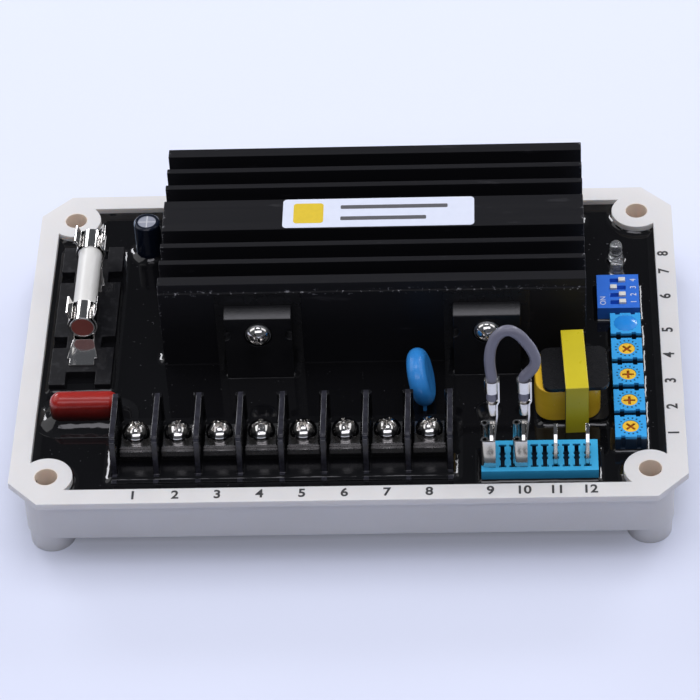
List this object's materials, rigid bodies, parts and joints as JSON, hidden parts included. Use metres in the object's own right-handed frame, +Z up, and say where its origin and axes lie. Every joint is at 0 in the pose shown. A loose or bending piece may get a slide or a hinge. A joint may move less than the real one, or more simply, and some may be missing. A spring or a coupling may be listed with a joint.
{
  "type": "automatic voltage regulator",
  "caption": "Potted generator voltage regulator: resin-filled tray with a finned heat sink, power devices, barrier terminals, fuse, blade tabs, coding switch and trimmers.",
  "frame": {"origin": "in the plane of the feet, under the middle of the tray", "axes": "+Z up from the feet, +X along the long side of the tray, +Y from the terminal side to the back"},
  "size_m": [0.153, 0.106, 0.0559],
  "materials": {
    "tray_plastic": "satin cream moulding",
    "board": "green laminate",
    "resin": "glossy black potting",
    "black_anodised": "black anodised extrusion",
    "film": "thin grey film",
    "device_body": "moulded black",
    "nickel": "nickel plated",
    "steel": "zinc plated",
    "terminal_body": "black moulding",
    "tin": "tin plated",
    "ceramic": "white ceramic",
    "ferrite": "dark ferrite",
    "can": "bare can",
    "sleeve": "shrink sleeve",
    "red_coat": "dipped coat",
    "blue_coat": "dipped coat",
    "housing_blue": "cyan moulding",
    "wire": "grey insulation",
    "strands": "copper strands",
    "yellow_tape": "yellow tape",
    "amber_tape": "amber tape",
    "bobbin": "black moulding",
    "switch_blue": "blue moulding",
    "lever": "white moulding",
    "trimmer_blue": "blue moulding",
    "rotor": "orange moulding",
    "lacquer": "blue lacquer",
    "lens": "clear epoxy"
  },
  "bodies": {
    "regulator": {"tray": "tray_plastic", "circuit_board": "board", "potting_resin": "resin", "heat_sink": "black_anodised", "insulating_films": "film", "power_device_left": "device_body", "power_device_right": "device_body", "device_screws": "nickel", "device_washers": "steel", "terminal_block": "terminal_body", "contact_plates": "tin", "clamp_plates": "nickel", "terminal_screws": "nickel", "fuse_holder_base": "terminal_body", "fuse_clip_rear": "nickel", "fuse_clip_front": "nickel", "fuse_tube": "ceramic", "fuse_cap_rear": "nickel", "fuse_cap_front": "nickel", "electrolytic_can": "can", "electrolytic_sleeve": "sleeve", "film_capacitor": "red_coat", "varistor": "blue_coat", "tab_housing": "housing_blue", "male_tabs": "tin", "receptacle_left": "tin", "receptacle_right": "tin", "jumper_wire": "wire", "jumper_strands": "strands", "transformer_core": "ferrite", "core_tape": "yellow_tape", "transformer_bobbin": "bobbin", "transformer_winding": "amber_tape", "coding_switch": "switch_blue", "trimmer_body_1": "trimmer_blue", "trimmer_body_2": "trimmer_blue", "trimmer_body_3": "trimmer_blue", "trimmer_body_4": "trimmer_blue", "trimmer_body_5": "trimmer_blue", "trimmer_rotor_1": "rotor", "trimmer_seal": "lacquer", "lamp_rear": "lens", "lamp_front": "lens"},
    "lever_1": {"switch_lever_1": "lever"},
    "lever_2": {"switch_lever_2": "lever"},
    "lever_3": {"switch_lever_3": "lever"},
    "lever_4": {"switch_lever_4": "lever"},
    "rotor_2": {"trimmer_rotor_2": "rotor"},
    "rotor_3": {"trimmer_rotor_3": "rotor"},
    "rotor_4": {"trimmer_rotor_4": "rotor"},
    "rotor_5": {"trimmer_rotor_5": "rotor"}
  },
  "joints": [
    {"name": "lever_1_slide", "type": "slide", "parent": "regulator", "child": "lever_1", "axis": [1, 0, 0], "range_m": [-0.002, 0]},
    {"name": "lever_2_slide", "type": "slide", "parent": "regulator", "child": "lever_2", "axis": [1, 0, 0], "range_m": [-0.002, 0]},
    {"name": "lever_3_slide", "type": "slide", "parent": "regulator", "child": "lever_3", "axis": [1, 0, 0], "range_m": [0, 0.002]},
    {"name": "lever_4_slide", "type": "slide", "parent": "regulator", "child": "lever_4", "axis": [1, 0, 0], "range_m": [-0.002, 0]},
    {"name": "trimmer_2_turn", "type": "hinge", "parent": "regulator", "child": "rotor_2", "pos_m": [0.06396, -0.00715, 0.0205], "axis": [0, 0, 1], "range_deg": [-130, 130]},
    {"name": "trimmer_3_turn", "type": "hinge", "parent": "regulator", "child": "rotor_3", "pos_m": [0.06396, -0.01575, 0.0205], "axis": [0, 0, 1], "range_deg": [-130, 130]},
    {"name": "trimmer_4_turn", "type": "hinge", "parent": "regulator", "child": "rotor_4", "pos_m": [0.06396, -0.02435, 0.0205], "axis": [0, 0, 1], "range_deg": [-130, 130]},
    {"name": "trimmer_5_turn", "type": "hinge", "parent": "regulator", "child": "rotor_5", "pos_m": [0.06396, -0.03295, 0.0205], "axis": [0, 0, 1], "range_deg": [-130, 130]}
  ]
}
